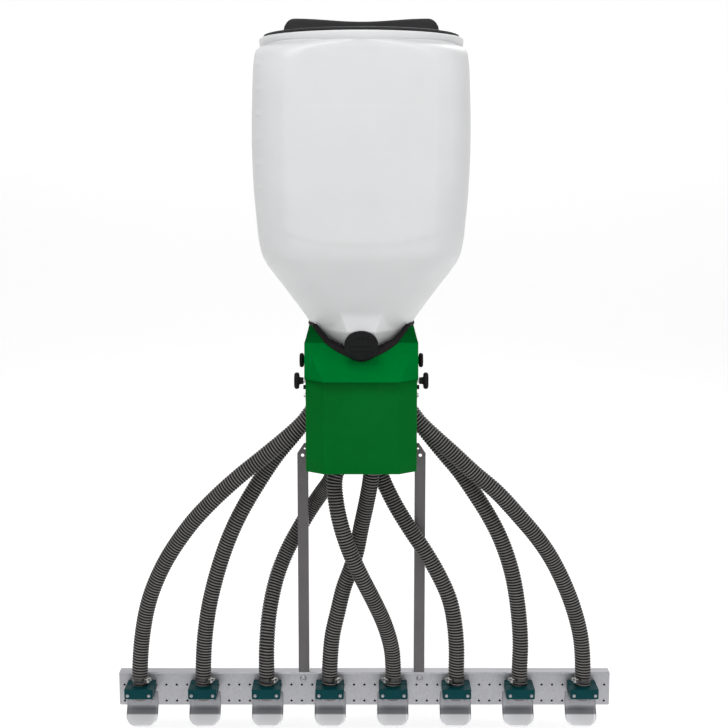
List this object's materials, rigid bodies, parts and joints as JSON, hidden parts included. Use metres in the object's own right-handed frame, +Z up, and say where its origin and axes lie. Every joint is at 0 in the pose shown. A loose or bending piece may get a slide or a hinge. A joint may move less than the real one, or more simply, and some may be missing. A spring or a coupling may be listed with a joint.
{
  "type": "pneumatic seed spreader",
  "caption": "Tall square-section hopper with screw lid over a sheet-metal metering and fan housing, hoses fanning out to clamped outlets with deflectors along a perforated bar",
  "frame": {"origin": "centre of the rear mounting plate's rear face", "axes": "+Z up, +Y out of the rear mounting face, the drain and front cover face -Y, +X to the viewer's right"},
  "size_m": [1.175, 0.4656, 1.6458],
  "materials": {
    "hopper_plastic": "moulded natural white",
    "black_plastic": "fine grain",
    "seal_rubber": "matte",
    "green_paint": "powder coat",
    "zinc_steel": "galvanised",
    "grey_plastic": "moulded",
    "bright_steel": "polished stainless",
    "motor_steel": "zinc plated",
    "clamp_plastic": "moulded",
    "pipe_plastic": "smooth",
    "hose_plastic": "ribbed"
  },
  "bodies": {
    "machine": {"hopper": "hopper_plastic", "hood": "green_paint", "side_plate_left": "green_paint", "side_plate_right": "green_paint", "rear_plate": "green_paint", "mounting_plate": "zinc_steel", "metering_housing": "grey_plastic", "gear_motor": "motor_steel", "outlet_manifold": "grey_plastic", "blower_housing": "grey_plastic", "blower_motor": "motor_steel", "strut_left": "zinc_steel", "strut_right": "zinc_steel", "distribution_bar": "zinc_steel", "hose_1": "hose_plastic", "hose_2": "hose_plastic", "hose_3": "hose_plastic", "hose_4": "hose_plastic", "hose_5": "hose_plastic", "hose_6": "hose_plastic", "hose_7": "hose_plastic", "hose_8": "hose_plastic", "pipe_clamp_1": "clamp_plastic", "pipe_clamp_2": "clamp_plastic", "pipe_clamp_3": "clamp_plastic", "pipe_clamp_4": "clamp_plastic", "pipe_clamp_5": "clamp_plastic", "pipe_clamp_6": "clamp_plastic", "pipe_clamp_7": "clamp_plastic", "pipe_clamp_8": "clamp_plastic", "outlet_pipe_1": "pipe_plastic", "outlet_pipe_2": "pipe_plastic", "outlet_pipe_3": "pipe_plastic", "outlet_pipe_4": "pipe_plastic", "outlet_pipe_5": "pipe_plastic", "outlet_pipe_6": "pipe_plastic", "outlet_pipe_7": "pipe_plastic", "outlet_pipe_8": "pipe_plastic", "deflector_1": "bright_steel", "deflector_2": "bright_steel", "deflector_3": "bright_steel", "deflector_4": "bright_steel", "deflector_5": "bright_steel", "deflector_6": "bright_steel", "deflector_7": "bright_steel", "deflector_8": "bright_steel"},
    "lid_ring": {"lid_seal": "seal_rubber"},
    "lid": {"lid": "black_plastic"},
    "drain_washer": {"drain_seal": "seal_rubber"},
    "drain_cap": {"drain_cap": "black_plastic"},
    "cover": {"front_cover": "green_paint"},
    "left_cover_knob": {"cover_knob_left": "black_plastic"},
    "right_cover_knob": {"cover_knob_right": "black_plastic"},
    "left_hood_knob": {"hood_knob_left": "black_plastic"},
    "right_hood_knob": {"hood_knob_right": "black_plastic"},
    "roller": {"metering_roller": "grey_plastic", "roller_gear": "grey_plastic"},
    "agitator": {"agitator": "bright_steel", "agitator_gear": "grey_plastic"},
    "impeller": {"blower_impeller": "grey_plastic"}
  },
  "joints": [
    {"name": "lid_rise", "type": "slide", "parent": "machine", "child": "lid_ring", "axis": [0, 0, 1], "range_m": [0, 0.0241]},
    {"name": "lid_turn", "type": "hinge", "parent": "lid_ring", "child": "lid", "pos_m": [0, -0.17, 0.8423], "axis": [0, 0, 1], "range_deg": [0, 540]},
    {"name": "drain_travel", "type": "slide", "parent": "machine", "child": "drain_washer", "axis": [0, -0.829, -0.5592], "range_m": [0, 0.0127]},
    {"name": "drain_turn", "type": "hinge", "parent": "drain_washer", "child": "drain_cap", "pos_m": [0, -0.2908, 0.1785], "axis": [0, -0.829, -0.5592], "range_deg": [0, 900]},
    {"name": "cover_swing", "type": "hinge", "parent": "machine", "child": "cover", "pos_m": [0, -0.246, 0.0885], "axis": [-1, 0, 0], "range_deg": [0, 22]},
    {"name": "left_cover_knob_turn", "type": "hinge", "parent": "machine", "child": "left_cover_knob", "pos_m": [-0.14, -0.246, 0.0885], "axis": [-1, 0, 0], "continuous": true},
    {"name": "right_cover_knob_turn", "type": "hinge", "parent": "machine", "child": "right_cover_knob", "pos_m": [0.14, -0.246, 0.0885], "axis": [1, 0, 0], "continuous": true},
    {"name": "left_hood_knob_turn", "type": "hinge", "parent": "machine", "child": "left_hood_knob", "pos_m": [-0.135, -0.2, 0.1285], "axis": [-1, 0, 0], "continuous": true},
    {"name": "right_hood_knob_turn", "type": "hinge", "parent": "machine", "child": "right_hood_knob", "pos_m": [0.135, -0.2, 0.1285], "axis": [1, 0, 0], "continuous": true},
    {"name": "roller_spin", "type": "hinge", "parent": "machine", "child": "roller", "pos_m": [0, -0.17, 0.076], "axis": [1, 0, 0], "continuous": true},
    {"name": "agitator_spin", "type": "hinge", "parent": "machine", "child": "agitator", "pos_m": [0, -0.17, 0.116], "axis": [1, 0, 0], "continuous": true},
    {"name": "impeller_spin", "type": "hinge", "parent": "machine", "child": "impeller", "pos_m": [0, -0.09, 0.04], "axis": [0, 1, 0], "continuous": true}
  ],
  "couplings": [
    {"joint": "lid_rise", "follows": "lid_turn", "m_per_rad": 0.0025465},
    {"joint": "drain_travel", "follows": "drain_turn", "m_per_rad": 0.00079577},
    {"joint": "agitator_spin", "follows": "roller_spin", "ratio": -1}
  ]
}
